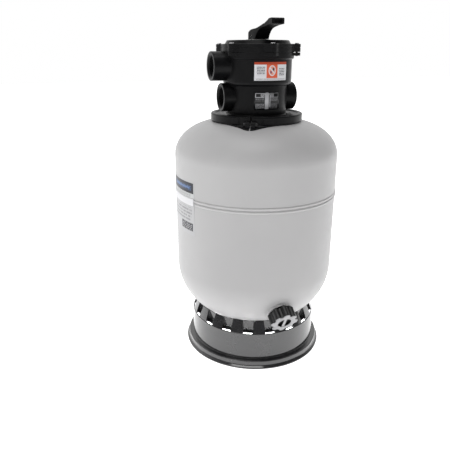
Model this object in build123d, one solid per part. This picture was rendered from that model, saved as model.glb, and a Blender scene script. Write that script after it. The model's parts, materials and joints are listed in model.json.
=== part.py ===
from build123d import *
from math import cos, pi, radians, sin
import os

# Sand filter tank with a top-mounted multiport valve. Millimetres, +Z up.
# The origin is on the tank's axis, at the floor. The valve's ports lie along X, the drain faces -Y.

# Tank shell
TANK_R = 203.2
TANK_WALL = 5.0
TANK_FLOOR_Z = 89.5
BOTTOM_ARC_R = 142.5
BOTTOM_ARC_X = TANK_R - BOTTOM_ARC_R
BOTTOM_ARC_Z = TANK_FLOOR_Z + BOTTOM_ARC_R
DOME_Z = 518.0
DOME_WIDE = 115.0
DOME_HIGH = 82.0
DOME_IN_R = TANK_R - DOME_WIDE
BELT_Z = 425.5
BELT_HALF = 7.5
BELT_PROUD = 1.6
LABEL_LOW = 342.0
LABEL_HIGH = 473.0
NECK_R = 89.5
NECK_BORE = 62.0
FLANGE_R = 96.0
FLANGE_LOW = 604.0
FLANGE_TOP = 608.5

# Base stand
BASE_FOOT_R = 184.0
BASE_SKIRT_R = 167.0
BASE_RIM_R = 165.0
BASE_RIM_Z = 90.0
BASE_IN_R = 162.0
COLLAR_LOW_R = 163.8
COLLAR_TOP_R = 151.8
COLLAR_TOP_Z = 119.5
COLLAR_BACK_R = 149.7
POCKETS = 18
POCKET_FIRST_DEG = 5.0
POCKET_TOP_W = 28.0
POCKET_LOW_W = 23.6
POCKET_FLOOR = 3.0
SLOT_IN_R = 156.0
SLOT_OUT_R = 163.1

# Valve
VALVE_LOW_R = 72.0
VALVE_UP_R = 82.0
VALVE_WALL = 6.0
DECK_Z = 683.0
DECK_T = 7.0
BODY_FLANGE_R = 86.5
BODY_FLANGE_Z = 743.0
BODY_TOP = 757.0
COVER_LOW = 757.0
COVER_RIM_TOP = 776.0
COVER_TOP = 784.0
COVER_DISC_R = 74.0
COVER_GROOVE_Z = 767.4
LUG_AT_R = 92.5
LUG_TIP_R = 10.5
LUG_TIP_AT = 90.5
LUG_ROOT_R = 30.0
LUG_BLEND = 10.0
LUG_LOW = 750.0
LUGS = 6
LUG_FIRST_DEG = 30.0
PORT_R = 33.0
PORT_BORE = 23.9
PORT_THREAD = 24.0
UP_PORT_Z = 727.0
UP_PORT_END = 117.0
LOW_PORT_Z = 656.0
LOW_PORT_END = 93.0
SPIGOT_R = 57.0
SPIGOT_LOW = 588.0
TUBE_R = 29.0
PIPE_R = 24.15
SHAFT_R = 10.0
SCREW_R = 3.0
SCREW_HOLE_R = 3.25
SCREW_SEAT_Z = 773.0
SCREW_SEAT_R = 6.6
NUT_WIDE = 9.6
NUT_T = 4.5

# Clamp
CLAMP_R = 112.0
CLAMP_LOW = 600.5
CLAMP_TOP = 619.0
CLAMP_SPLIT_DEG = 62.5
EAR_AT_R = 116.0
EAR_R = 22.0
CLAMP_BOLT_Z = 603.5
CLAMP_BOLT_R = 120.0
CLAMP_SHANK_R = 2.5
EAR_HALF = 11.0
CLAMP_GAP = 3.0
PAD_DEG = 224.0
DIMPLE_DEG = 256.0

# Handle: the lever points along -Y
HANDLE_PIN_Z = 794.0
HUB_HALF_LONG = 25.0
HUB_HALF_WIDE = 17.5
TIP_REACH = 116.0
HANDLE_FOOT_Z = 786.3

# Drain, on the lower dome in front
DRAIN_TILT = 30.0
DRAIN_BORE = 16.3
CAP_IN = 148.0
CAP_OUT = 176.0
CAP_CORE_R = 27.8
CAP_LOBES = 8
CAP_LOBE_R = 8.3
CAP_LOBE_AT = 26.2
CAP_FACE_R = 17.0

# Pipes in the tank
HUB_Z = 132.0
LATERALS = 8
LATERAL_R = 11.0
LATERAL_END = 136.0


def turned(face):
    """Turns a face on the XZ plane about the Z axis."""
    return revolve(face, Axis.Z, 360)


def turned_points(*points):
    """Turns a closed outline of (radius, height) points about the Z axis."""
    return turned(make_face(Plane.XZ * Polyline(*points, close=True)))


def tube(r_out, r_in, low, high):
    """A ring between two heights."""
    return turned_points((r_in, low), (r_out, low), (r_out, high), (r_in, high))


def rod(r, low, high):
    """A round bar between two heights."""
    return Pos(0, 0, low) * Cylinder(r, high - low, align=(Align.CENTER, Align.CENTER, Align.MIN))


def bar_x(r, start, end, z):
    """A round bar along X at a height."""
    return Pos(start, 0, z) * Rot(0, 90, 0) * rod(r, 0, end - start)


def block(low, high):
    """A box between two corners."""
    size = [b - a for a, b in zip(low, high)]
    middle = [(a + b) / 2 for a, b in zip(low, high)]
    return Pos(*middle) * Box(*size)


def hexagon(across, low, high):
    """A hexagonal bar; its flats face X."""
    return extrude(Pos(0, 0, low) * RegularPolygon(across / 2, 6, major_radius=False, rotation=30), high - low)


def at_lug(part, step):
    """Puts a part that stands on the Z axis at one of the lugs."""
    return Rot(0, 0, LUG_FIRST_DEG + 360 / LUGS * step) * Pos(LUG_AT_R, 0, 0) * part


def rim_outline(inset):
    """Plan of the valve's rim: a circle with six soft bulges, shrunk by an inset."""
    tip = Pos(LUG_TIP_AT, 0) * Circle(LUG_TIP_R - inset)
    root = Pos(BODY_FLANGE_R - LUG_ROOT_R, 0) * Circle(LUG_ROOT_R - inset)
    bulge = make_hull(tip.edges() + root.edges())
    outline = Circle(BODY_FLANGE_R - inset)
    for step in range(LUGS):
        outline = outline + Rot(0, 0, LUG_FIRST_DEG + 360 / LUGS * step) * bulge
    corners = [v for v in outline.vertices() if abs(Vector(*v).length - BODY_FLANGE_R + inset) < 0.01]
    return fillet(corners, LUG_BLEND)


def rim_layer(inset, low, high):
    """Rim outline drawn up between two heights."""
    return extrude(Pos(0, 0, low) * rim_outline(inset), high - low)


def vessel_face(inset, top_r, top_z):
    """Half section of the vessel, shrunk by an inset, with a straight neck."""
    low = TANK_FLOOR_Z + inset
    side = TANK_R - inset
    arc_r = BOTTOM_ARC_R - inset
    floor = Line((0, low), (BOTTOM_ARC_X, low))
    bend = CenterArc((BOTTOM_ARC_X, BOTTOM_ARC_Z), arc_r, 270, 90)
    wall = Line((side, BOTTOM_ARC_Z), (side, DOME_Z))
    dome = EllipticalCenterArc((DOME_IN_R, DOME_Z), DOME_WIDE - inset, DOME_HIGH - inset, start_angle=0, arc_size=90)
    crown = DOME_Z + DOME_HIGH - inset
    rest = Polyline((DOME_IN_R, crown), (top_r, crown), (top_r, top_z), (0, top_z), (0, low))
    return make_face(Plane.XZ * Curve([floor, bend, wall, dome, rest]))


def belt():
    """Moulded belt: two round ridges with a groove between them."""
    ridge = BELT_HALF / 2 + 0.4
    ring = None
    for side in (-1, 1):
        middle = BELT_Z + side * ridge
        outline = Curve(
            [
                ThreePointArc(
                    (TANK_R - 0.5, middle - ridge + 0.8),
                    (TANK_R + BELT_PROUD, middle),
                    (TANK_R - 0.5, middle + ridge - 0.8),
                ),
                Line((TANK_R - 0.5, middle + ridge - 0.8), (TANK_R - 0.5, middle - ridge + 0.8)),
            ]
        )
        band = turned(make_face(Plane.XZ * outline))
        ring = band if ring is None else ring + band
    return ring


def drain_axis():
    """Plane whose Z runs along the drain's axis, with its origin at the bottom arc's centre."""
    out = (0, -cos(radians(DRAIN_TILT)), -sin(radians(DRAIN_TILT)))
    return Plane(origin=(0, -BOTTOM_ARC_X, BOTTOM_ARC_Z), x_dir=(1, 0, 0), z_dir=out)


def tank_shell():
    """Vessel with its neck flange, belt band, O-ring groove and drain hole."""
    outer = turned(vessel_face(0, NECK_R, FLANGE_LOW)) + rod(FLANGE_R, FLANGE_LOW, FLANGE_TOP) + belt()
    inner = turned(vessel_face(TANK_WALL, NECK_BORE, FLANGE_TOP + 1))
    groove = tube(80.8, 75.2, FLANGE_TOP - 2.6, FLANGE_TOP + 1)
    drain = drain_axis() * rod(DRAIN_BORE, BOTTOM_ARC_R - 20, BOTTOM_ARC_R + 20)
    seat = drain_axis() * rod(27.0, BOTTOM_ARC_R, BOTTOM_ARC_R + 20)
    boss = (drain_axis() * rod(30.0, BOTTOM_ARC_R - 12, BOTTOM_ARC_R + 2.0)) - inner
    return outer + boss - inner - groove - drain - seat


def base_stand():
    """Foot ring, skirt and sloping collar, with pockets whose floors are slotted through."""
    dome_gap = 0.2
    collar_in = COLLAR_BACK_R - 2.7
    ring = turned_points(
        (BASE_IN_R, 0),
        (BASE_FOOT_R, 0),
        (BASE_FOOT_R, 2.2),
        (183.2, 3.4),
        (179.2, 6.2),
        (178.4, 8),
        (178.0, 17.4),
        (177.2, 18.7),
        (175.8, 19.2),
        (167.8, 19.9),
        (166.2, 20.7),
        (166.2, 22.6),
        (BASE_SKIRT_R, 23.4),
        (BASE_RIM_R + 0.3, BASE_RIM_Z - 1.5),
        (BASE_RIM_R - 0.7, BASE_RIM_Z),
        (COLLAR_LOW_R, BASE_RIM_Z),
        (COLLAR_TOP_R, COLLAR_TOP_Z),
        (collar_in, COLLAR_TOP_Z),
        (collar_in, BASE_RIM_Z - POCKET_FLOOR),
        (BASE_IN_R, BASE_RIM_Z - POCKET_FLOOR),
    )
    inside = turned(vessel_face(-dome_gap, NECK_R, FLANGE_LOW))
    foot_low, foot_high = BASE_IN_R - 1, 178
    hollow_foot = turned_points((foot_low, -1), (foot_high, -1), (foot_high, 3), (167, 14), (foot_low, 14))
    ring = Rot(0, 0, POCKET_FIRST_DEG - 180 / POCKETS) * (ring - inside - hollow_foot)
    mouth = Polyline(
        (-POCKET_LOW_W / 2, BASE_RIM_Z),
        (POCKET_LOW_W / 2, BASE_RIM_Z),
        (POCKET_TOP_W / 2, COLLAR_TOP_Z + 1),
        (-POCKET_TOP_W / 2, COLLAR_TOP_Z + 1),
        close=True,
    )
    front = Plane(origin=(COLLAR_BACK_R, 0, 0), x_dir=(0, 1, 0), z_dir=(1, 0, 0))
    pocket = extrude(make_face(front * mouth), 20)
    half_slot = POCKET_LOW_W / 2 - 0.3
    slot = block((SLOT_IN_R, -half_slot, BASE_RIM_Z - 8), (SLOT_OUT_R, half_slot, BASE_RIM_Z + 1))
    for step in range(POCKETS):
        turn = Rot(0, 0, POCKET_FIRST_DEG + 360 / POCKETS * step)
        ring = ring - turn * (pocket + slot)
    return ring


def clamp_section():
    """Whole clamp ring: outer wall, lower lip under the tank's flange and the dished upper lip."""
    lip_r = VALVE_LOW_R + 3
    return turned_points(
        (90, CLAMP_LOW),
        (CLAMP_R - 1.5, CLAMP_LOW),
        (CLAMP_R, CLAMP_LOW + 1.5),
        (CLAMP_R, CLAMP_TOP - 3),
        (CLAMP_R - 1, CLAMP_TOP - 0.8),
        (CLAMP_R - 3, CLAMP_TOP),
        (102, CLAMP_TOP),
        (100.5, CLAMP_TOP - 2.8),
        (lip_r, CLAMP_TOP - 2.8),
        (lip_r, FLANGE_TOP + 5.3),
        (FLANGE_R + 0.4, FLANGE_TOP + 5.3),
        (FLANGE_R + 0.4, FLANGE_LOW - 0.3),
        (90, FLANGE_LOW - 0.3),
    )


def dome_solid(gap):
    """The top dome's outside with a gap round it, as a solid."""
    crown = DOME_Z + DOME_HIGH + gap
    arc = EllipticalCenterArc((DOME_IN_R, DOME_Z), DOME_WIDE + gap, DOME_HIGH + gap, start_angle=0, arc_size=90)
    rest = Polyline((DOME_IN_R, crown), (0, crown), (0, DOME_Z), (TANK_R + gap, DOME_Z))
    return turned(make_face(Plane.XZ * Curve([arc, rest])))


def clamp_ear():
    """Ear at angle zero: a web that runs into the ring, and a boss for the bolt."""
    outline = make_hull(Circle(CLAMP_R - 1).edges() + (Pos(EAR_AT_R, 0) * Circle(EAR_R)).edges())
    web = extrude(Pos(0, 0, 584) * outline, 19)
    web = web & turned_points((108, 584), (140, 584), (140, 594.6), (112, 602), (108, 602.5))
    boss = block((108, -EAR_HALF, 584), (126, EAR_HALF, 609))
    boss = fillet(boss.edges().filter_by(Axis.Y).sort_by(Axis.Z)[-2:], 4)
    seats = rod(CLAMP_SHANK_R + 0.2, -40, 40) + rod(5.6, -40, -EAR_HALF) + rod(5.6, EAR_HALF, 40)
    return (web + boss) - dome_solid(0.8) - Pos(CLAMP_BOLT_R, 0, CLAMP_BOLT_Z) * Rot(90, 0, 0) * seats


def clamp_halves():
    """The two halves: each has a half ring, half of both ears and its own moulded mark."""
    keep = block((-160, CLAMP_GAP / 2, 580), (160, 160, 630))
    half = clamp_section() & keep
    for turn in (0, 180):
        half = half + (Rot(0, 0, turn) * clamp_ear() & keep)
    pad = Rot(0, 0, PAD_DEG - CLAMP_SPLIT_DEG) * block((CLAMP_R - 3, -8, 603), (CLAMP_R + 1.6, 8, 616))
    dimple_turn = Rot(0, 0, DIMPLE_DEG - CLAMP_SPLIT_DEG - 180)
    dimple = dimple_turn * Pos(CLAMP_R - 2.5, 0, 609.5) * Rot(0, 90, 0) * rod(4.5, 0, 5)
    return Rot(0, 0, CLAMP_SPLIT_DEG) * (half + pad), Rot(0, 0, CLAMP_SPLIT_DEG + 180) * (half - dimple)


def clamp_bolt():
    """Socket bolt across an ear, at angle zero."""
    head = rod(4.5, EAR_HALF, EAR_HALF + 5) - hexagon(4, EAR_HALF + 2.5, EAR_HALF + 6)
    shank = rod(CLAMP_SHANK_R, -EAR_HALF - 6, EAR_HALF)
    return Pos(CLAMP_BOLT_R, 0, CLAMP_BOLT_Z) * Rot(90, 0, 0) * (head + shank)


def clamp_nut():
    """Nut across an ear, at angle zero."""
    nut = hexagon(8, -EAR_HALF - 4, -EAR_HALF) - rod(CLAMP_SHANK_R, -EAR_HALF - 5, -EAR_HALF + 1)
    return Pos(CLAMP_BOLT_R, 0, CLAMP_BOLT_Z) * Rot(90, 0, 0) * nut


def group(parts):
    """Separate solids in one node."""
    return Compound(children=list(parts))


def ring_seal(middle_r, cord_r, z):
    """O-ring."""
    return Pos(0, 0, z) * Torus(middle_r, cord_r)


def port(end, z):
    """Outside of a port along +X: a round collar with a stepped mouth edge."""
    return bar_x(PORT_R, 40, end - 1, z) + bar_x(PORT_R - 1, end - 2, end, z)


def port_bore(end, z, depth):
    """Inside of a port along +X: threaded length, chamfer and the waterway."""
    mouth = Pos(end - 1.6, 0, z) * Rot(0, 90, 0) * Cone(PORT_BORE, 27.2, 3.4)
    return bar_x(PORT_BORE, end - PORT_THREAD, end + 1, z) + bar_x(21.5, depth, end, z) + mouth


def valve_body():
    """Valve body: flange, lower body, upper body, deck, ports and inner walls."""
    curve_r = 9.0
    low_mid = (FLANGE_R, FLANGE_TOP)
    rounded = ThreePointArc(
        (VALVE_UP_R - curve_r, DECK_Z),
        (VALVE_UP_R - curve_r + curve_r * sin(pi / 4), DECK_Z + curve_r - curve_r * cos(pi / 4)),
        (VALVE_UP_R, DECK_Z + curve_r),
    )
    start = Polyline((0, FLANGE_TOP), low_mid, (FLANGE_R, FLANGE_TOP + 5), (VALVE_LOW_R + 2, FLANGE_TOP + 5),
                     (VALVE_LOW_R, FLANGE_TOP + 9), (VALVE_LOW_R, DECK_Z), (VALVE_UP_R - curve_r, DECK_Z))
    end = Polyline((VALVE_UP_R, DECK_Z + curve_r), (VALVE_UP_R, BODY_FLANGE_Z - 1.5),
                   (BODY_FLANGE_R, BODY_FLANGE_Z + 1.5), (BODY_FLANGE_R, BODY_TOP), (0, BODY_TOP), (0, FLANGE_TOP))
    solid = turned(make_face(Plane.XZ * Curve([start, rounded, end])))
    solid = solid + rod(SPIGOT_R, SPIGOT_LOW, FLANGE_TOP)
    solid = solid + rim_layer(0, LUG_LOW, BODY_TOP)
    solid = solid + port(LOW_PORT_END, LOW_PORT_Z) + Rot(0, 0, 180) * port(LOW_PORT_END, LOW_PORT_Z)
    cover_room = rod(BODY_FLANGE_R + 2, BODY_TOP, BODY_TOP + 10)
    solid = solid + Rot(0, 0, 180) * (port(UP_PORT_END, UP_PORT_Z) - cover_room)
    gauge = Rot(0, 0, 90) * bar_x(12, 70, VALVE_UP_R + 4, 715)
    solid = solid + gauge
    low_room = tube(VALVE_LOW_R - VALVE_WALL, TUBE_R, FLANGE_TOP + 5, DECK_Z - 4)
    wall = block((-70, -2, FLANGE_TOP + 4), (70, 2, DECK_Z))
    solid = solid - (low_room - Rot(0, 0, 45) * wall - Rot(0, 0, 135) * wall)
    solid = solid - tube(SPIGOT_R - 5, TUBE_R, SPIGOT_LOW - 1, FLANGE_TOP + 6)
    solid = solid - rod(PIPE_R + 0.1, SPIGOT_LOW - 1, FLANGE_TOP + 20) - rod(21.5, FLANGE_TOP, BODY_TOP)
    solid = solid - rod(VALVE_UP_R - VALVE_WALL, DECK_Z + DECK_T, BODY_TOP + 1)
    solid = solid - port_bore(LOW_PORT_END, LOW_PORT_Z, 55)
    solid = solid - Rot(0, 0, 180) * port_bore(LOW_PORT_END, LOW_PORT_Z, 55)
    solid = solid - Rot(0, 0, 180) * port_bore(UP_PORT_END, UP_PORT_Z, 60)
    solid = solid - Rot(0, 0, 90) * bar_x(6.5, 60, VALVE_UP_R + 5, 715)
    for step in range(LUGS):
        window = Rot(0, 0, 60 * step) * Pos(46, 0, 0) * rod(12, DECK_Z - 6, DECK_Z + DECK_T + 1)
        hole = rod(SCREW_HOLE_R, LUG_LOW - 1, BODY_TOP + 1) + hexagon(NUT_WIDE + 0.3, LUG_LOW - 1, LUG_LOW + NUT_T)
        solid = solid - window - at_lug(hole, step)
    solid = solid - tube(81.6, 76.9, BODY_TOP - 2.1, BODY_TOP + 1)
    return solid - tube(80.8, 75.2, FLANGE_TOP - 1, FLANGE_TOP + 2.6)


def valve_cover():
    """Cover with a grooved, six-lobed rim, a bevelled disc and the shaft's bush."""
    rim = rim_layer(0, COVER_LOW + 1.2, COVER_RIM_TOP)
    rim = chamfer(rim.faces().sort_by(Axis.Z)[-1].edges(), 1.0)
    rim = rim + rod(BODY_FLANGE_R - 1, COVER_LOW, COVER_LOW + 2)
    groove = rim_layer(-2.0, COVER_GROOVE_Z, COVER_GROOVE_Z + 1.2) - rim_layer(0.8, 760, 775)
    disc = turned_points(
        (0, COVER_LOW),
        (COVER_DISC_R + 4, COVER_LOW),
        (COVER_DISC_R + 4, COVER_RIM_TOP),
        (COVER_DISC_R, COVER_TOP - 1),
        (COVER_DISC_R - 1, COVER_TOP),
        (0, COVER_TOP),
    )
    cover = rim - groove + disc
    for step in range(LUGS):
        hole = rod(SCREW_HOLE_R, COVER_LOW - 1, COVER_TOP) + rod(SCREW_SEAT_R, SCREW_SEAT_Z, COVER_TOP)
        cover = cover - at_lug(hole, step)
    room = rod(VALVE_UP_R - VALVE_WALL - 4, COVER_LOW - 1, COVER_TOP - 7)
    bush = rod(19, COVER_TOP - 22, COVER_TOP - 5)
    rib = block((-70, -1.5, COVER_TOP - 13), (70, 1.5, COVER_TOP - 5))
    ribs = rib + Rot(0, 0, 60) * rib + Rot(0, 0, 120) * rib - rod(30, COVER_TOP - 14, COVER_TOP - 4)
    cover = cover - (room - bush - ribs)
    cover = cover - rod(SHAFT_R + 0.08, COVER_LOW - 1, COVER_TOP + 1)
    return cover - tube(81.6, 76.9, COVER_LOW - 1, COVER_LOW + 2.1)


def cover_screw():
    """Hex-flange screw, sunk in its seat."""
    seat = SCREW_SEAT_Z
    head = rod(6.0, seat, seat + 1.2) + hexagon(9.5, seat + 1.2, seat + 5)
    return head + rod(SCREW_R, LUG_LOW - 1, seat)


def cover_nut():
    """Nut held in a lug's underside."""
    return hexagon(NUT_WIDE, LUG_LOW, LUG_LOW + NUT_T) - rod(SCREW_R, LUG_LOW - 1, LUG_LOW + NUT_T + 1)


def rotor():
    """Rotor plate with its raised port dome, ribs and shaft."""
    low = DECK_Z + DECK_T + 2.3
    plate = rod(VALVE_UP_R - VALVE_WALL - 1.2, low, low + 9)
    dome = Pos(0, 0, low) * (rod(66, 0, 22) & (Pos(46, 0, 0) * rod(19, 0, 22) + block((0, -19, 0), (46, 19, 22))))
    step_ring = rod(30, low, low + 9) + rod(16, low, low + 26)
    shaft = rod(SHAFT_R, low, HANDLE_PIN_Z + 5)
    ribs = block((-60, -2, low), (0, 2, low + 15)) + block((-2, -60, low), (2, 60, low + 15))
    key = plate + dome + step_ring + shaft + ribs
    trim = tube(26.5, 16, low + 9.0, low + 40)
    cup = Pos(46, 0, low - 1) * rod(14, 0, 17) + rod(16, low - 1, low + 8) + block((0, -11, low - 1), (46, 11, low + 7))
    slots = tube(SHAFT_R + 1, SHAFT_R - 2.2, 765, 768) + tube(SHAFT_R + 1, SHAFT_R - 2.2, 774, 777)
    pin_hole = bar_x(3.05, -20, 20, HANDLE_PIN_Z)
    return key - trim - cup - slots - pin_hole


def rotor_gasket():
    """Spoked gasket on the deck."""
    low = DECK_Z + DECK_T
    gasket = rod(VALVE_UP_R - VALVE_WALL - 0.8, low, low + 2.2)
    for step in range(LUGS):
        gasket = gasket - Rot(0, 0, 60 * step) * Pos(46, 0, 0) * rod(13.5, low - 1, low + 3)
    return gasket - rod(23, low - 1, low + 3)


def spring():
    """Coil spring round the shaft, with a closed turn at each end."""
    low, high = 721.5, 773.5
    path = Helix(pitch=(high - low) / 5, height=high - low, radius=22.5)
    wire = sweep(Plane(origin=path @ 0, z_dir=path % 0) * Circle(1.9), path=path)
    return Pos(0, 0, low) * wire


def handle():
    """Lever: a hub over the shaft, a rising arm and a block tip with a recessed end."""
    reach = TIP_REACH
    back = Polyline((HUB_HALF_LONG, HANDLE_FOOT_Z), (HUB_HALF_LONG, 793))
    top = Spline((HUB_HALF_LONG, 793), (20.5, 800), (8, 806), (-16, 808.8), (-46, 812.5), (-70, 817.5), (-92, 824),
                 tangents=[(-0.1, 1), (-1, 0.32)])
    tip = Polyline((-92, 824), (-98, 826.6), (-(reach - 4), 827.5), (-reach, 825.5), (-reach, 815), (-98, 814))
    under = Spline((-98, 814), (-77, 812), (-58, 809.5), (-42, 804), (-33, 797), (-28, 791),
                   tangents=[(1, -0.02), (0.35, -1)])
    foot = Polyline((-28, 791), (-HUB_HALF_LONG, HANDLE_FOOT_Z), (HUB_HALF_LONG, HANDLE_FOOT_Z))
    side = Plane(origin=(0, 0, 0), x_dir=(0, 1, 0), z_dir=(1, 0, 0))
    lever = extrude(make_face(side * Curve([back, top, tip, under, foot])), HUB_HALF_WIDE, both=True)
    wide, narrow = HUB_HALF_WIDE, 14.5
    plan = make_face(Polyline((-wide, HUB_HALF_LONG), (-wide, -20), (-narrow, -70), (-narrow, -reach),
                              (narrow, -reach), (narrow, -70), (wide, -20), (wide, HUB_HALF_LONG), close=True))
    plan = fillet([v for v in plan.vertices() if v.Y > HUB_HALF_LONG - 1], 8)
    lever = lever & extrude(Pos(0, 0, 780) * plan, 60)
    recess = block((-9, -reach - 1, 817.2), (9, -reach + 7, 823.6))
    socket = block((-10.6, -12.9, HANDLE_FOOT_Z - 1), (10.6, 12.9, HANDLE_PIN_Z + 7.8))
    pin_hole = bar_x(3.05, -HUB_HALF_WIDE - 1, HUB_HALF_WIDE + 1, HANDLE_PIN_Z)
    return lever - recess - socket - pin_hole


def top_diffuser():
    """Slotted ring under the valve that spreads the incoming water."""
    low, high = 552.0, SPIGOT_LOW
    cage = tube(SPIGOT_R, SPIGOT_R - 4, low, high) + tube(SPIGOT_R, PIPE_R + 0.6, low, low + 4)
    for step in range(12):
        cage = cage - Rot(0, 0, 30 * step) * block((40, -5, low + 9), (70, 5, high - 6))
    return cage


def standpipe():
    """Pipe from the valve down to the lateral hub."""
    return tube(PIPE_R, 20.4, HUB_Z + 10, FLANGE_TOP + 18)


def lateral_hub():
    """Hub with a socket for the pipe and eight lateral sockets."""
    body = rod(42, HUB_Z - 20, HUB_Z + 20) + rod(31, HUB_Z + 20, HUB_Z + 38) - rod(PIPE_R + 0.1, HUB_Z + 10, HUB_Z + 40)
    body = body - rod(20.4, HUB_Z - 14, HUB_Z + 12)
    for step in range(LATERALS):
        body = body - Rot(0, 0, 360 / LATERALS * (step + 0.5)) * bar_x(LATERAL_R, 30, 60, HUB_Z)
        body = body - Rot(0, 0, 360 / LATERALS * (step + 0.5)) * bar_x(7, 10, 40, HUB_Z)
    return body


def lateral(step):
    """Slotted collector tube, closed at its outer end."""
    arm = bar_x(LATERAL_R, 30, LATERAL_END - 2, HUB_Z) + bar_x(LATERAL_R - 2, LATERAL_END - 3, LATERAL_END, HUB_Z)
    arm = arm - bar_x(LATERAL_R - 2.2, 29, LATERAL_END - 4, HUB_Z)
    for index in range(14):
        x = 48 + 6 * index
        arm = arm - block((x, -20, HUB_Z + 3), (x + 1.2, 20, HUB_Z + 20))
        arm = arm - block((x, -20, HUB_Z - 20), (x + 1.2, 20, HUB_Z - 3))
    return Rot(0, 0, 360 / LATERALS * (step + 0.5)) * arm


def drain_fitting():
    """Fitting through the wall: outer flange, inner thread and the spout for the cap."""
    seat = BOTTOM_ARC_R
    body = rod(24, seat + 2, seat + 5) + rod(16, seat - 26, seat + 3) + rod(18, seat + 4, seat + 21)
    return drain_axis() * (body - rod(12, seat - 27, seat + 22))


def drain_body_gasket():
    """Flat gasket between the fitting's flange and the tank."""
    return drain_axis() * tube(24, 16.2, BOTTOM_ARC_R, BOTTOM_ARC_R + 2)


def drain_nut():
    """Nut inside the tank that holds the fitting."""
    high = BOTTOM_ARC_R - 12.0
    return drain_axis() * (hexagon(44, high - 9, high) - rod(16.02, high - 10, high + 1))


def drain_screen():
    """Slotted strainer on the fitting's inner end."""
    high = BOTTOM_ARC_R - 26
    screen = rod(15, high - 30, high) - rod(12.5, high - 27.5, high + 1)
    for index in range(5):
        z = high - 25 + 5 * index
        screen = screen - block((-20, 3, z), (20, 20, z + 1.5)) - block((-20, -20, z), (20, -3, z + 1.5))
    return drain_axis() * screen


def drain_cap():
    """Cap with eight broad lobes and a recessed face crossed by a web."""
    cap = rod(CAP_CORE_R, CAP_IN, CAP_OUT)
    for step in range(CAP_LOBES):
        lobe = chamfer(rod(CAP_LOBE_R, CAP_IN, CAP_OUT).edges().filter_by(GeomType.CIRCLE), 1.2)
        cap = cap + Rot(0, 0, 360 / CAP_LOBES * step) * Pos(CAP_LOBE_AT, 0, 0) * lobe
    face = rod(CAP_FACE_R, CAP_OUT - 7, CAP_OUT + 1)
    web = block((-3.5, -CAP_FACE_R, CAP_OUT - 8), (3.5, CAP_FACE_R, CAP_OUT - 0.8))
    bore = rod(18.35, CAP_IN - 1, BOTTOM_ARC_R + 24)
    return drain_axis() * (cap - (face - web) - bore)


def drain_gasket():
    """Flat gasket inside the cap, on the spout's end."""
    return drain_axis() * tube(17.9, 10, BOTTOM_ARC_R + 21.3, BOTTOM_ARC_R + 23.7)


def skin(radius, thick, low, high, from_deg, to_deg):
    """Thin curved label on a cylinder."""
    face = make_face(
        Plane.XZ * Polyline((radius, low), (radius + thick, low), (radius + thick, high), (radius, high), close=True)
    )
    return Rot(0, 0, from_deg) * revolve(face, Axis.Z, to_deg - from_deg)


def tank_label():
    """Label over the belt band, on the side of the two ports."""
    inner, outer = TANK_R + 0.03, TANK_R + 0.4
    over = BELT_PROUD + 0.1
    low, high = BELT_Z - BELT_HALF - 1.0, BELT_Z + BELT_HALF + 1.0
    outline = Polyline(
        (inner, LABEL_LOW), (outer, LABEL_LOW), (outer, low - 1.5), (outer + over, low + 1), (outer + over, high - 1),
        (outer, high + 1.5), (outer, LABEL_HIGH), (inner, LABEL_HIGH), (inner, high + 1.5), (inner + over, high - 1),
        (inner + over, low + 1), (inner, low - 1.5), close=True,
    )
    return Rot(0, 0, 155) * revolve(make_face(Plane.XZ * outline), Axis.Z, 50)


def build():
    """Every node by name."""
    half_a, half_b = clamp_halves()
    ear_turns = (CLAMP_SPLIT_DEG, CLAMP_SPLIT_DEG + 180)
    parts = {
        "tank_shell": tank_shell(),
        "base_stand": base_stand(),
        "clamp_half_left": half_a,
        "clamp_half_right": half_b,
        "clamp_bolts": group(Rot(0, 0, turn) * clamp_bolt() for turn in ear_turns),
        "clamp_nuts": group(Rot(0, 0, turn) * clamp_nut() for turn in ear_turns),
        "tank_o_ring": ring_seal(78, 2.5, FLANGE_TOP),
        "valve_body": valve_body(),
        "valve_cover": valve_cover(),
        "cover_o_ring": ring_seal(79.25, 2.05, COVER_LOW),
        "cover_screws": group(at_lug(cover_screw(), step) for step in range(LUGS)),
        "cover_nuts": group(at_lug(cover_nut(), step) for step in range(LUGS)),
        "rotor": rotor(),
        "rotor_gasket": rotor_gasket(),
        "valve_spring": spring(),
        "spring_washer": tube(26, SHAFT_R + 0.4, 718.8, 719.4),
        "shaft_o_rings": group(ring_seal(SHAFT_R - 1.1, 1.1, z) for z in (766.5, 775.5)),
        "handle": handle(),
        "handle_pin": bar_x(3.0, -16.5, 16.5, HANDLE_PIN_Z),
        "handle_washer": tube(28, SHAFT_R + 0.6, COVER_TOP, COVER_TOP + 1.8),
        "gauge_plug": Rot(0, 0, 90) * (bar_x(6.5, 74, VALVE_UP_R + 4, 715) + bar_x(8, VALVE_UP_R + 4, 91, 715)),
        "top_diffuser": top_diffuser(),
        "standpipe": standpipe(),
        "lateral_hub": lateral_hub(),
        "drain_fitting": drain_fitting(),
        "drain_body_gasket": drain_body_gasket(),
        "drain_nut": drain_nut(),
        "drain_screen": drain_screen(),
        "drain_cap": drain_cap(),
        "drain_gasket": drain_gasket(),
        "valve_label": skin(VALVE_UP_R + 0.02, 0.35, 697, 737, 244, 302),
        "tank_label": tank_label(),
    }
    for step in range(LATERALS):
        parts[f"lateral_{step + 1}"] = lateral(step)
    return parts


os.makedirs("parts", exist_ok=True)
for name, part in build().items():
    part.label = name
    export_step(part, f"parts/{name}.step")
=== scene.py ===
import json
import math

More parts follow.
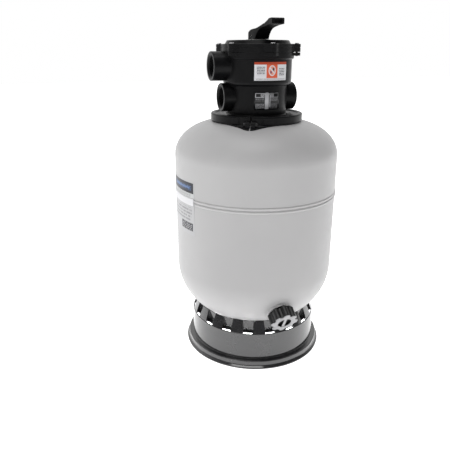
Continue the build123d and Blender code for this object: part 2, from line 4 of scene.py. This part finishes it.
import bpy
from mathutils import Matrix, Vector


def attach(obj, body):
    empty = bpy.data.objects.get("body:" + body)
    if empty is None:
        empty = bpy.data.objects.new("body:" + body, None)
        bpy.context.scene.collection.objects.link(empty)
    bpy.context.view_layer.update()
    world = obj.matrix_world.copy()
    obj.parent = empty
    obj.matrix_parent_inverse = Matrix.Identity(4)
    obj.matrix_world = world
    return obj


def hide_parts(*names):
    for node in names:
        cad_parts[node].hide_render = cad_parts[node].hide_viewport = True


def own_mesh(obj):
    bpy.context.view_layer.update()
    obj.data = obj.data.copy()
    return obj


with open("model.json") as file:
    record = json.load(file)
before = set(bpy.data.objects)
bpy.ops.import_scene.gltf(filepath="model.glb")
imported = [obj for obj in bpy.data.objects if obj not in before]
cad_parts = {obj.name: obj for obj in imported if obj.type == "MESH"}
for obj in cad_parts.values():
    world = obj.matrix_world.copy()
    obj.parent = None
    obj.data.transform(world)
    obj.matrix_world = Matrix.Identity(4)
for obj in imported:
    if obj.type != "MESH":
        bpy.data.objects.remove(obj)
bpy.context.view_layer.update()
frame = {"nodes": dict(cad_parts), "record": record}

# Camera, in metres and radians, in the row frame
CAMERA_AT = (-0.4558, -1.1595, 0.76)
CAMERA_AHEAD = (0.3074, 0.9516)
CAMERA_PITCH = math.radians(19.38)
CAMERA_LENS = 39.54

# Where the white backdrop is brightest, as a direction on the floor plan, and how it fades
BACKDROP_AHEAD = (0.05, 1.0)
BACKDROP_FADE = (-0.1, 0.55)
BACKDROP_LIGHT = (0.12, 1.25)

# Floor: half its side, its drop below the foot, and its glow
FLOOR_HALF = 12.0
FLOOR_DROP = 0.0005
FLOOR_GLOW = 1.2

# Height where the cover screws' bright heads start, in metres; below it the shanks are painted dark as
# shade
SCREW_HEADS_FROM = 0.770

# Print on the lower valve body: radius, thickness and heights in metres, angles in degrees
PRINT_R = 0.07205
PRINT_THICK = 0.0003
PRINT_LOW = 0.631
PRINT_HIGH = 0.671
PRINT_FROM = 244.0
PRINT_TO = 295.0

# Valve spring, which the rotor squeezes against the cover
SPRING_R = 0.0225
SPRING_WIRE = 0.0019
SPRING_LOW = 0.7215
SPRING_HIGH = 0.7735
SPRING_TURNS = 6
SPRING_FLAT_ENDS = 0.85
SPRING_STEPS = 32
SPRING_SIDES = 10

# Drain cap: its axis, and how far along it the outer face with its painted highlight starts, in metres
DRAIN_AXIS = (0.0, -math.cos(math.radians(30)), -math.sin(math.radians(30)))
CAP_HIGHLIGHT_FROM = 0.1112

# Pipe threads in the ports: (side, height, mouth)
PORTS = ((-1, 0.727, 0.117), (-1, 0.656, 0.093), (1, 0.656, 0.093))
THREAD_R = 0.0239
THREAD_DEEP = 0.0011
THREAD_ROOT = 0.0003
THREAD_PITCH = 0.0022
THREAD_TURNS = 8
THREAD_STEPS = 40
THREAD_INSET = 0.0205


def make_camera():
    """Camera in front of the tank, a little to its left, looking down at it."""
    data = bpy.data.cameras.new("camera")
    data.lens = CAMERA_LENS
    data.sensor_width = 36.0
    data.clip_start = 0.01
    data.clip_end = 60
    camera = bpy.data.objects.new("camera", data)
    bpy.context.scene.collection.objects.link(camera)
    flat = Vector((CAMERA_AHEAD[0], CAMERA_AHEAD[1], 0)).normalized()
    look = flat * math.cos(CAMERA_PITCH) - Vector((0, 0, math.sin(CAMERA_PITCH)))
    camera.location = CAMERA_AT
    camera.rotation_mode = "QUATERNION"
    camera.rotation_quaternion = look.to_track_quat("-Z", "Y")
    bpy.context.scene.camera = camera


class Shader:
    """Small helper that builds a node tree for one material."""

    def __init__(self, name):
        self.material = bpy.data.materials.new(name)
        self.material.use_nodes = True
        self.tree = self.material.node_tree
        self.tree.nodes.clear()
        self.out = self.tree.nodes.new("ShaderNodeOutputMaterial")
        self.bsdf = self.tree.nodes.new("ShaderNodeBsdfPrincipled")
        self.link(self.bsdf.outputs[0], self.out.inputs[0])
        self.place = self.node("ShaderNodeTexCoord").outputs["Object"]

    def node(self, kind, **settings):
        made = self.tree.nodes.new(kind)
        for key, value in settings.items():
            setattr(made, key, value)
        return made

    def link(self, start, end):
        self.tree.links.new(start, end)

    def set(self, **values):
        """Uniform values straight on the shader's sockets."""
        for key, value in values.items():
            self.bsdf.inputs[key.replace("_", " ")].default_value = value

    def noise(self, scale, detail=3.0, rough=0.5, stretch=(1, 1, 1), distort=0.0):
        mapping = self.node("ShaderNodeMapping")
        mapping.inputs["Scale"].default_value = stretch
        self.link(self.place, mapping.inputs["Vector"])
        made = self.node("ShaderNodeTexNoise")
        made.inputs["Scale"].default_value = scale
        made.inputs["Detail"].default_value = detail
        made.inputs["Roughness"].default_value = rough
        made.inputs["Distortion"].default_value = distort
        self.link(mapping.outputs[0], made.inputs["Vector"])
        return made.outputs["Fac"]

    def remap(self, value, low, high, to_low, to_high):
        made = self.node("ShaderNodeMapRange")
        self.feed(value, made.inputs["Value"])
        limits = {"From Min": low, "From Max": high, "To Min": to_low, "To Max": to_high}
        for key, number in limits.items():
            made.inputs[key].default_value = number
        return made.outputs["Result"]

    def feed(self, value, socket):
        """Links an output, or sets a plain number."""
        if hasattr(value, "is_output"):
            self.link(value, socket)
        else:
            socket.default_value = value

    def math(self, operation, a, b=0.0):
        made = self.node("ShaderNodeMath", operation=operation)
        self.feed(a, made.inputs[0])
        self.feed(b, made.inputs[1])
        return made.outputs[0]

    def mix(self, factor, a, b):
        """Colour mix; a and b are outputs or RGB triples."""
        made = self.node("ShaderNodeMix", data_type="RGBA")
        self.feed(factor, made.inputs["Factor"])
        for value, socket in ((a, made.inputs["A"]), (b, made.inputs["B"])):
            self.feed(value if hasattr(value, "is_output") else (*value, 1.0), socket)
        return made.outputs["Result"]

    def axis(self, letter):
        """One coordinate of the place on the object."""
        made = self.node("ShaderNodeSeparateXYZ")
        self.link(self.place, made.inputs[0])
        return made.outputs[letter]

    def angle(self):
        """Angle about the tank's axis, in degrees from 0 to 360."""
        turn = self.math("ARCTAN2", self.axis("Y"), self.axis("X"))
        made = self.node("ShaderNodeMath", operation="WRAP")
        self.link(self.math("MULTIPLY", turn, 180 / math.pi), made.inputs[0])
        made.inputs[1].default_value = 360.0
        made.inputs[2].default_value = 0.0
        return made.outputs[0]

    def band(self, value, low, high):
        """One between two limits, else nought."""
        made = self.node("ShaderNodeMath", operation="COMPARE")
        self.link(value, made.inputs[0])
        made.inputs[1].default_value = (low + high) / 2
        made.inputs[2].default_value = (high - low) / 2
        return made.outputs[0]

    def area(self, u, v, low, high):
        """Rectangle from (u, v) low to (u, v) high."""
        return self.math("MULTIPLY", self.band(u, low[0], high[0]), self.band(v, low[1], high[1]))

    def oval(self, u, v, middle, half):
        """Ellipse about a middle."""
        across = self.math("DIVIDE", self.math("SUBTRACT", u, middle[0]), half[0])
        along = self.math("DIVIDE", self.math("SUBTRACT", v, middle[1]), half[1])
        squares = [self.math("MULTIPLY", part, part) for part in (across, along)]
        return self.math("LESS_THAN", self.math("ADD", *squares), 1.0)

    def rows(self, u, v, pitch, width):
        """Rows of short broken dashes, like small print that can't be read."""
        line = self.band(self.math("FRACT", self.math("DIVIDE", v, pitch)), 0.25, 0.8)
        spot = self.node("ShaderNodeCombineXYZ")
        self.link(self.math("DIVIDE", u, width), spot.inputs[0])
        self.link(self.math("FLOOR", self.math("DIVIDE", v, pitch)), spot.inputs[1])
        broken = self.node("ShaderNodeTexNoise")
        broken.inputs["Scale"].default_value = 1.0
        broken.inputs["Detail"].default_value = 1.0
        self.link(spot.outputs[0], broken.inputs["Vector"])
        return self.math("MULTIPLY", line, self.math("GREATER_THAN", broken.outputs["Fac"], 0.46))

    def paint(self, base, layers):
        """Prints (mask, colour) layers over a base colour, one after the other."""
        for mask, ink in layers:
            base = self.mix(mask, base, ink)
        return base

    def edges(self, radius):
        """Wear mask that is high on sharp edges."""
        bevel = self.node("ShaderNodeBevel", samples=4)
        bevel.inputs["Radius"].default_value = radius
        flat = self.node("ShaderNodeNewGeometry")
        dot = self.node("ShaderNodeVectorMath", operation="DOT_PRODUCT")
        self.link(bevel.outputs[0], dot.inputs[0])
        self.link(flat.outputs["Normal"], dot.inputs[1])
        return self.remap(dot.outputs["Value"], 1.0, 0.8, 0.0, 1.0)

    def bump(self, *layers, edge=0.0):
        """Bump from (height, strength, distance) layers, over softly rounded edges."""
        last = None
        if edge:
            bevel = self.node("ShaderNodeBevel", samples=4)
            bevel.inputs["Radius"].default_value = edge
            last = bevel.outputs[0]
        for height, strength, distance in layers:
            made = self.node("ShaderNodeBump")
            made.inputs["Strength"].default_value = strength
            made.inputs["Distance"].default_value = distance
            self.link(height, made.inputs["Height"])
            if last is not None:
                self.link(last, made.inputs["Normal"])
            last = made.outputs[0]
        self.link(last, self.bsdf.inputs["Normal"])

    def colour(self, value):
        self.feed(value if hasattr(value, "is_output") else (*value, 1.0), self.bsdf.inputs["Base Color"])

    def roughness(self, value):
        self.feed(value, self.bsdf.inputs["Roughness"])


def tank_material():
    """Light grey moulded vessel: gentle ripple, fine orange peel, faint scuffs and handling marks."""
    s = Shader("tank_grey")
    cloud = s.noise(4.0, 3)
    scuff = s.remap(s.noise(38.0, 6, 0.65, (1, 1, 0.35), 1.4), 0.62, 0.75, 0.0, 1.0)
    base = s.mix(s.remap(cloud, 0.35, 0.65, 0.0, 1.0), (0.452, 0.448, 0.452), (0.488, 0.485, 0.487))
    base = s.mix(s.math("MULTIPLY", scuff, 0.18), base, (0.38, 0.38, 0.38))
    s.colour(base)
    s.roughness(s.remap(s.noise(60, 4), 0.3, 0.7, 0.36, 0.48))
    ripple = s.noise(7.0, 1, 0.4, (1, 1, 0.6))
    peel = s.noise(420.0, 2)
    s.bump((ripple, 0.25, 0.004), (peel, 0.12, 0.0004), (scuff, 0.08, 0.0004), edge=0.0015)
    s.set(Specular_IOR_Level=0.45)
    return s.material


def stand_material():
    """Glossy black moulded stand with hairline scratches and a trace of dust."""
    s = Shader("stand_gloss_black")
    dust = s.remap(s.noise(26, 6, 0.7), 0.5, 0.8, 0.0, 1.0)
    s.colour(s.mix(s.math("MULTIPLY", dust, 0.35), (0.028, 0.028, 0.03), (0.07, 0.07, 0.072)))
    hair = s.remap(s.noise(30, 8, 0.75, (1, 1, 9), 2.5), 0.60, 0.64, 0.0, 1.0)
    s.roughness(s.math("ADD", s.remap(dust, 0, 1, 0.10, 0.22), s.math("MULTIPLY", hair, 0.12)))
    wave = s.noise(9, 1, 0.4)
    s.bump((wave, 0.12, 0.003), (hair, 0.1, 0.0002), edge=0.0012)
    s.set(Specular_IOR_Level=0.85, Coat_Weight=0.4, Coat_Roughness=0.08)
    return s.material


def valve_material():
    """Satin black valve plastic with a fine moulded grain and lighter worn edges."""
    s = Shader("valve_satin_black")
    cloud = s.remap(s.noise(18, 5, 0.6), 0.35, 0.7, 0.0, 1.0)
    worn = s.math("MULTIPLY", s.edges(0.0012), s.remap(s.noise(80, 4), 0.35, 0.65, 0.2, 1.0))
    base = s.mix(cloud, (0.0035, 0.0035, 0.004), (0.006, 0.006, 0.0065))
    s.colour(s.mix(s.math("MULTIPLY", worn, 0.4), base, (0.05, 0.05, 0.052)))
    s.roughness(s.remap(s.noise(140, 4), 0.3, 0.7, 0.30, 0.42))
    grain = s.noise(900, 2)
    s.bump((s.noise(14, 2), 0.1, 0.002), (grain, 0.1, 0.0003), edge=0.0010)
    s.set(Specular_IOR_Level=0.13)
    return s.material


def handle_material():
    """Deep black lever with a fine grain, rubbed smoother where a hand holds it."""
    s = Shader("handle_black")
    held = s.remap(s.math("MULTIPLY", s.axis("Y"), -1.0), 0.05, 0.11, 0.0, 1.0)
    worn = s.math("MULTIPLY", s.edges(0.0012), s.remap(s.noise(90, 4), 0.4, 0.65, 0.1, 0.8))
    s.colour(s.mix(s.math("MULTIPLY", worn, 0.35), (0.004, 0.004, 0.0045), (0.05, 0.05, 0.052)))
    grain = s.remap(s.noise(150, 4), 0.3, 0.7, 0.46, 0.6)
    s.roughness(s.math("SUBTRACT", grain, s.math("MULTIPLY", held, 0.12)))
    s.bump((s.noise(16, 2), 0.1, 0.002), (s.noise(850, 2), 0.15, 0.0003), edge=0.0012)
    s.set(Specular_IOR_Level=0.07)
    return s.material


def cap_material():
    """Drain cap: black lobes, and a scuffed outer face round its dark recess, painted pale grey as a
    highlight.
    """
    s = Shader("drain_cap_black")
    along = s.node("ShaderNodeVectorMath", operation="DOT_PRODUCT")
    s.link(s.place, along.inputs[0])
    along.inputs[1].default_value = DRAIN_AXIS
    # The pale grey of the outer face is a painted highlight; the scuffs vary it, the lobes and recess
    # keep the cap's black.
    face = s.math("GREATER_THAN", along.outputs["Value"], CAP_HIGHLIGHT_FROM)
    scuff = s.remap(s.noise(70, 6, 0.65), 0.5, 0.75, 0.0, 1.0)
    pale = s.mix(scuff, (0.36, 0.36, 0.37), (0.22, 0.22, 0.23))
    dark = s.mix(s.math("MULTIPLY", scuff, 0.3), (0.007, 0.007, 0.0075), (0.03, 0.03, 0.031))
    s.colour(s.mix(face, dark, pale))
    s.roughness(s.remap(s.noise(140, 4), 0.3, 0.7, 0.28, 0.42))
    s.bump((s.noise(20, 2), 0.1, 0.001), (s.noise(800, 2), 0.12, 0.0003), edge=0.0010)
    s.set(Specular_IOR_Level=0.4)
    return s.material


def rubber_material():
    """Matte black rubber."""
    s = Shader("seal_rubber")
    s.colour(s.mix(s.noise(60, 4), (0.012, 0.012, 0.012), (0.035, 0.035, 0.035)))
    s.roughness(s.remap(s.noise(200, 3), 0.3, 0.7, 0.6, 0.8))
    s.bump((s.noise(600, 2), 0.15, 0.0003), edge=0.0004)
    return s.material


def steel_material():
    """Stainless fasteners with turning marks and small stains."""
    s = Shader("stainless")
    stain = s.remap(s.noise(120, 5, 0.6), 0.5, 0.75, 0.0, 1.0)
    s.colour(s.mix(s.math("MULTIPLY", stain, 0.4), (0.78, 0.78, 0.79), (0.5, 0.48, 0.46)))
    s.roughness(s.remap(s.noise(700, 3, 0.6, (1, 1, 4)), 0.3, 0.7, 0.18, 0.34))
    s.bump((s.noise(1200, 2, 0.5, (1, 1, 5)), 0.12, 0.0002), edge=0.0006)
    s.set(Metallic=1.0)
    return s.material


def cover_screw_material():
    """Stainless screw heads; the shanks below are painted near-black as shade, so they don't glint."""
    s = Shader("cover_screw_steel")
    head = s.math("GREATER_THAN", s.axis("Z"), SCREW_HEADS_FROM)
    stain = s.remap(s.noise(120, 5, 0.6), 0.5, 0.75, 0.0, 1.0)
    steel = s.mix(s.math("MULTIPLY", stain, 0.4), (0.80, 0.80, 0.81), (0.5, 0.48, 0.46))
    # Below the heads the steel is painted near-black: painted shade, not a coating.
    s.colour(s.mix(head, (0.015, 0.015, 0.015), steel))
    s.roughness(s.remap(s.noise(700, 3, 0.6, (1, 1, 4)), 0.3, 0.7, 0.2, 0.36))
    s.bump((s.noise(1200, 2, 0.5, (1, 1, 5)), 0.12, 0.0002), edge=0.0006)
    s.set(Metallic=1.0)
    return s.material


def pipe_material():
    """White pipe plastic with light mottling."""
    s = Shader("pipe_white")
    s.colour(s.mix(s.noise(30, 5), (0.72, 0.72, 0.69), (0.82, 0.82, 0.8)))
    s.roughness(s.remap(s.noise(160, 3), 0.3, 0.7, 0.4, 0.55))
    s.bump((s.noise(500, 2), 0.1, 0.0003), edge=0.0006)
    return s.material


def dark_steel_material():
    """Black-coated clamp bolts, rubbed bright on their edges; the cover nuts wear it too, where its black
    is painted shade.
    """
    s = Shader("dark_steel")
    worn = s.math("MULTIPLY", s.edges(0.0008), s.remap(s.noise(150, 4), 0.4, 0.6, 0.1, 1.0))
    s.colour(s.mix(s.math("MULTIPLY", worn, 0.7), (0.02, 0.02, 0.021), (0.35, 0.34, 0.33)))
    s.roughness(s.remap(s.noise(300, 3), 0.3, 0.7, 0.3, 0.5))
    s.bump((s.noise(700, 3), 0.15, 0.0002), edge=0.0005)
    s.set(Metallic=0.6)
    return s.material


def finish_film(s, gloss_low, gloss_high):
    """Roughness and slight waviness of a stuck-on film."""
    s.roughness(s.remap(s.noise(300, 3), 0.3, 0.7, gloss_low, gloss_high))
    s.bump((s.noise(60, 2), 0.08, 0.0006), (s.noise(240, 2), 0.05, 0.0003))
    s.set(Specular_IOR_Level=0.4)
    return s.material


def valve_label_material():
    """Sticker: orange stripe and centre panel with an oval sign, and small print on white."""
    s = Shader("valve_sticker")
    u, v = s.angle(), s.math("MULTIPLY", s.axis("Z"), 1000.0)
    middle = (273.0, 718.5)
    print_rows = s.rows(u, v, 3.4, 1.1)
    across = s.math("MULTIPLY", s.math("SUBTRACT", u, middle[0]), 1.5)
    slant = s.math("ADD", across, s.math("SUBTRACT", v, middle[1]))
    bar = s.math("MULTIPLY", s.band(slant, -2.2, 2.2), s.oval(u, v, middle, (5.0, 9.6)))
    footnote = s.rows(u, v, 1.7, 0.8)
    white, orange, dark = (0.66, 0.66, 0.68), (0.66, 0.10, 0.035), (0.03, 0.03, 0.035)
    layers = [
        (s.math("MULTIPLY", s.area(u, v, (248, 709.5), (261, 727)), print_rows), dark),
        (s.math("MULTIPLY", s.area(u, v, (285, 707), (297.5, 725)), print_rows), dark),
        (s.math("MULTIPLY", s.area(u, v, (247, 698), (299, 701.5)), footnote), (0.22, 0.22, 0.23)),
        (s.area(u, v, (263.5, 702.5), (282.5, 732)), orange),
        (s.area(u, v, (244, 731.5), (302, 737.5)), (0.42, 0.045, 0.012)),
        (s.oval(u, v, middle, (6.2, 11.5)), white),
        (s.oval(u, v, middle, (4.9, 9.3)), (0.72, 0.28, 0.2)),
        (bar, white),
        (s.oval(u, v, (275.2, 721.5), (1.6, 3.6)), dark),
        (s.oval(u, v, (270.8, 715.0), (1.5, 3.0)), (0.22, 0.06, 0.10)),
    ]
    s.colour(s.paint(white, layers))
    return finish_film(s, 0.3, 0.42)


def body_print_material():
    """White line print on a black film: a centre bar, boxes and rows of small marks."""
    s = Shader("body_print")
    u, v = s.angle(), s.math("MULTIPLY", s.axis("Z"), 1000.0)
    grey, light, black = (0.26, 0.26, 0.27), (0.52, 0.52, 0.54), (0.006, 0.006, 0.0065)
    marks = s.rows(u, v, 4.6, 1.3)
    fine = s.rows(u, v, 2.3, 0.9)
    layers = [
        (s.math("MULTIPLY", s.area(u, v, (246.5, 651), (263, 659)), marks), grey),
        (s.math("MULTIPLY", s.area(u, v, (273, 651), (292, 659)), fine), grey),
        (s.math("MULTIPLY", s.area(u, v, (246.5, 634), (263, 645)), fine), light),
        (s.math("MULTIPLY", s.area(u, v, (273, 634), (291, 645)), fine), grey),
        (s.area(u, v, (246, 658.5), (263, 669)), light),
        (s.area(u, v, (247.3, 660.2), (256, 667.3)), black),
        (s.math("MULTIPLY", s.area(u, v, (256, 660.2), (263, 667.3)), marks), black),
        (s.area(u, v, (273, 658.5), (292.5, 669)), grey),
        (s.area(u, v, (282, 660), (291.3, 667.5)), black),
        (s.area(u, v, (264, 632.5), (271.5, 667)), light),
        (s.oval(u, v, (267.7, 666.5), (5.0, 3.6)), light),
        (s.area(u, v, (273.3, 637), (274.6, 664)), light),
    ]
    s.colour(s.paint(black, layers))
    return finish_film(s, 0.32, 0.45)


def tank_label_material():
    """Tank label: a blue-black panel with a pale bar, rows of small print and a square code block."""
    s = Shader("tank_label")
    u, v = s.angle(), s.math("MULTIPLY", s.axis("Z"), 1000.0)
    film, grey, dark = (0.50, 0.50, 0.51), (0.30, 0.30, 0.31), (0.012, 0.013, 0.022)
    small = s.rows(u, v, 2.6, 0.7)
    large = s.rows(u, v, 8.0, 2.2)
    code = s.rows(u, v, 4.0, 1.2)
    title = s.rows(u, v, 3.2, 1.6)
    layers = [
        (s.area(u, v, (155, 434.5), (204.2, 446)), (0.55, 0.56, 0.56)),
        (s.math("MULTIPLY", s.area(u, v, (158, 436), (201, 445)), small), grey),
        (s.area(u, v, (155, 417.5), (204.4, 434.5)), (0.74, 0.74, 0.76)),
        (s.math("MULTIPLY", s.area(u, v, (158, 374), (202, 411)), large), grey),
        (s.area(u, v, (156, 378), (190, 381)), grey),
        (s.area(u, v, (188.5, 352.5), (203, 372)), dark),
        (s.math("MULTIPLY", s.area(u, v, (189.5, 354), (202, 370)), code), (0.42, 0.42, 0.43)),
        (s.area(u, v, (155, 446), (204.2, 471.5)), dark),
        (s.math("MULTIPLY", s.area(u, v, (176, 453), (202, 465)), title), (0.06, 0.13, 0.30)),
        (s.area(u, v, (178, 457), (200, 461)), (0.09, 0.17, 0.36)),
    ]
    s.colour(s.paint(film, layers))
    return finish_film(s, 0.34, 0.46)


def dress_nodes():
    """A material for every CAD node, by the record's slots."""
    made = {
        "tank_plastic": tank_material(),
        "stand_black": stand_material(),
        "valve_black": valve_material(),
        "seal_rubber": rubber_material(),
        "stainless": steel_material(),
        "pipe_plastic": pipe_material(),
        "dark_steel": dark_steel_material(),
    }
    own = {
        "valve_label": valve_label_material(),
        "tank_label": tank_label_material(),
        "handle": handle_material(),
        "drain_cap": cap_material(),
        "cover_screws": cover_screw_material(),
        # The stainless cover nuts get the black steel as painted shade, so they don't glint under the
        # lugs.
        "cover_nuts": made["dark_steel"],
    }
    slots = {row["node"]: row["material_slot"] for row in frame["record"]["subparts"]}
    for name, obj in frame["nodes"].items():
        obj.data.materials.clear()
        obj.data.materials.append(own[name] if name in own else made[slots[name]])
    return made


def new_piece(name, verts, faces, material):
    """A closed mesh of the object that rides on the still body."""
    mesh = bpy.data.meshes.new(name)
    mesh.from_pydata(verts, [], faces)
    mesh.validate()
    mesh.shade_smooth()
    mesh.materials.append(material)
    piece = bpy.data.objects.new(name, mesh)
    bpy.context.scene.collection.objects.link(piece)
    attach(piece, "root")
    return piece


def curved_film(radius, thick, low, high, from_deg, to_deg):
    """Vertices and faces of a thin closed film on a cylinder."""
    steps = int(to_deg - from_deg)
    outer = radius + thick
    corners = ((radius, low), (outer, low), (outer, high), (radius, high))
    verts, faces = [], []
    for step in range(steps + 1):
        turn = math.radians(from_deg + (to_deg - from_deg) * step / steps)
        for reach, height in corners:
            verts.append((reach * math.cos(turn), reach * math.sin(turn), height))
    for step in range(steps):
        for side in range(4):
            a, b = 4 * step + side, 4 * step + (side + 1) % 4
            faces.append((a, a + 4, b + 4, b))
    last = 4 * steps
    faces.append((0, 1, 2, 3))
    faces.append((last + 3, last + 2, last + 1, last))
    return verts, faces


def swept_wire(path, section):
    """Vertices and faces of a closed wire.

    The path holds (turn, radius, height) points and the section (outward, along) offsets.
    """
    verts, faces = [], []
    count = len(section)
    for turn, radius, height in path:
        for outward, along in section:
            reach = radius + outward
            verts.append((reach * math.cos(turn), reach * math.sin(turn), height + along))
    for step in range(len(path) - 1):
        for side in range(count):
            a, b = count * step + side, count * step + (side + 1) % count
            faces.append((a, b, b + count, a + count))
    last = count * (len(path) - 1)
    faces.append(tuple(reversed(range(count))))
    faces.append(tuple(range(last, last + count)))
    return verts, faces


def make_body_print():
    """Print on the lower valve body, below the sticker."""
    verts, faces = curved_film(PRINT_R, PRINT_THICK, PRINT_LOW, PRINT_HIGH, PRINT_FROM, PRINT_TO)
    new_piece("body_print", verts, faces, body_print_material())


def make_spring(material):
    """Coil spring with closed end turns; the CAD spring is hidden."""
    total = SPRING_TURNS * SPRING_STEPS
    path = []
    for step in range(total + 1):
        share = step / total
        rise = share - math.sin(2 * math.pi * share) / (2 * math.pi) * SPRING_FLAT_ENDS
        height = SPRING_LOW + (SPRING_HIGH - SPRING_LOW) * rise
        path.append((2 * math.pi * SPRING_TURNS * share, SPRING_R, height))
    circle = [2 * math.pi * side / SPRING_SIDES for side in range(SPRING_SIDES)]
    section = [(SPRING_WIRE * math.cos(a), SPRING_WIRE * math.sin(a)) for a in circle]
    verts, faces = swept_wire(path, section)
    spring = new_piece("coil_spring", verts, faces, material)
    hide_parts("valve_spring")
    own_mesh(spring)


def make_threads(material):
    """Helical pipe threads inside the three ports."""
    total = THREAD_TURNS * THREAD_STEPS
    half = THREAD_PITCH * 0.42
    tip = half * 0.2
    section = [(THREAD_ROOT, -half), (-THREAD_DEEP, -tip), (-THREAD_DEEP, tip), (THREAD_ROOT, half)]
    for number, (side, height, mouth) in enumerate(PORTS, 1):
        start = mouth - THREAD_INSET
        path = []
        for step in range(total + 1):
            turns = THREAD_TURNS * step / total
            path.append((2 * math.pi * turns, THREAD_R, start + THREAD_PITCH * turns))
        verts, faces = swept_wire(path, section)
        verts = [(side * along, side * x, height + y) for x, y, along in verts]
        new_piece(f"port_thread_{number}", verts, faces, material)


def make_floor():
    """Plain white studio floor, glowing a little like a lit table."""
    corners = ((-1, -1), (1, -1), (1, 1), (-1, 1))
    verts = [(FLOOR_HALF * x, FLOOR_HALF * y, 0) for x, y in corners]
    mesh = bpy.data.meshes.new("floor")
    mesh.from_pydata(verts, [], [(0, 1, 2, 3)])
    floor = bpy.data.objects.new("floor", mesh)
    floor.location.z = -FLOOR_DROP
    bpy.context.scene.collection.objects.link(floor)
    material = bpy.data.materials.new("floor_white")
    material.use_nodes = True
    bsdf = material.node_tree.nodes["Principled BSDF"]
    bsdf.inputs["Base Color"].default_value = (0.8, 0.8, 0.8, 1)
    bsdf.inputs["Roughness"].default_value = 0.9
    bsdf.inputs["Emission Color"].default_value = (1, 1, 1, 1)
    bsdf.inputs["Emission Strength"].default_value = FLOOR_GLOW
    mesh.materials.append(material)


def make_world():
    """White backdrop behind the object, dark studio on the camera's side."""
    world = bpy.data.worlds.new("studio")
    bpy.context.scene.world = world
    world.use_nodes = True
    tree = world.node_tree
    tree.nodes.clear()
    out = tree.nodes.new("ShaderNodeOutputWorld")
    light = tree.nodes.new("ShaderNodeBackground")
    place = tree.nodes.new("ShaderNodeTexCoord")
    dot = tree.nodes.new("ShaderNodeVectorMath")
    dot.operation = "DOT_PRODUCT"
    dot.inputs[1].default_value = (*BACKDROP_AHEAD, 0)
    spread = tree.nodes.new("ShaderNodeMapRange")
    spread.interpolation_type = "SMOOTHSTEP"
    spread.inputs["From Min"].default_value = BACKDROP_FADE[0]
    spread.inputs["From Max"].default_value = BACKDROP_FADE[1]
    spread.inputs["To Min"].default_value = BACKDROP_LIGHT[0]
    spread.inputs["To Max"].default_value = BACKDROP_LIGHT[1]
    tree.links.new(place.outputs["Generated"], dot.inputs[0])
    tree.links.new(dot.outputs["Value"], spread.inputs["Value"])
    tree.links.new(spread.outputs["Result"], light.inputs["Strength"])
    tree.links.new(light.outputs[0], out.inputs[0])


def area_light(name, place, target, size, power):
    """Soft rectangular light aimed at a point."""
    data = bpy.data.lights.new(name, "AREA")
    data.shape = "RECTANGLE"
    data.size, data.size_y = size
    data.energy = power
    light = bpy.data.objects.new(name, data)
    bpy.context.scene.collection.objects.link(light)
    light.location = place
    aim = Vector(target) - Vector(place)
    light.rotation_mode = "QUATERNION"
    light.rotation_quaternion = aim.to_track_quat("-Z", "Y")


def make_lights():
    """Soft box overhead, a weak key and fill, and a light inside the stand, seen through its slots."""
    area_light("overhead", (-0.25, -0.35, 2.6), (0, 0, 0.5), (1.5, 1.5), 22)
    area_light("key", (-1.9, -1.3, 1.9), (0, 0, 0.4), (1.4, 1.8), 7)
    area_light("fill", (1.8, -1.2, 1.3), (0, 0, 0.4), (1.2, 1.6), 1)
    area_light("inside_stand", (0, 0, 0.08), (0, 0, 0), (0.2, 0.2), 4)


make_camera()
made_materials = dress_nodes()
make_body_print()
make_spring(made_materials["stainless"])
make_threads(made_materials["valve_black"])
make_floor()
make_world()
make_lights()
bpy.context.scene.view_settings.view_transform = "Standard"
